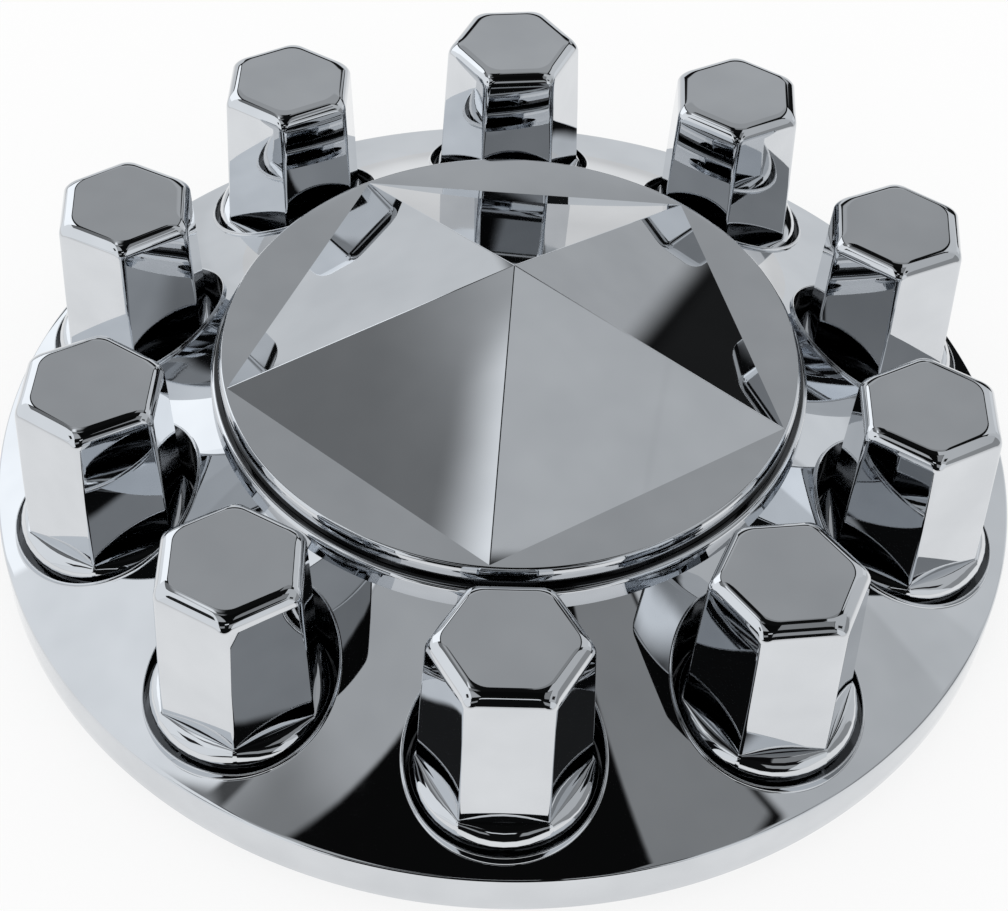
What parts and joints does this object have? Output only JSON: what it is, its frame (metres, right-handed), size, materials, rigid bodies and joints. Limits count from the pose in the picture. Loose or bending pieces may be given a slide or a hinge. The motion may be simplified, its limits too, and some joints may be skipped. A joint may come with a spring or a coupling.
{
  "type": "axle cover",
  "caption": "Chrome dished axle cover for a truck wheel, with a snap-in pyramid hub cap and flanged hexagonal nut covers standing in round pockets.",
  "frame": {"origin": "centre of the skirt's bottom face, on the wheel's axis", "axes": "+Z outward along the wheel's axis, towards the pyramid's tip; -Y through the first nut cover"},
  "size_m": [0.36, 0.36, 0.1035],
  "materials": {
    "dish_chrome": "bright chrome plate on moulded ABS",
    "cap_chrome": "bright chrome plate on moulded ABS",
    "nut_chrome": "bright chrome plate on moulded ABS"
  },
  "bodies": {
    "root": {"hub_cap": "cap_chrome", "dish_01": "dish_chrome", "dish_02": "dish_chrome", "dish_03": "dish_chrome", "dish_04": "dish_chrome", "dish_05": "dish_chrome", "dish_06": "dish_chrome", "dish_07": "dish_chrome", "dish_08": "dish_chrome", "dish_09": "dish_chrome", "dish_10": "dish_chrome", "nut_cover_01": "nut_chrome", "nut_cover_02": "nut_chrome", "nut_cover_03": "nut_chrome", "nut_cover_04": "nut_chrome", "nut_cover_05": "nut_chrome", "nut_cover_06": "nut_chrome", "nut_cover_07": "nut_chrome", "nut_cover_08": "nut_chrome", "nut_cover_09": "nut_chrome", "nut_cover_10": "nut_chrome"}
  },
  "joints": []
}
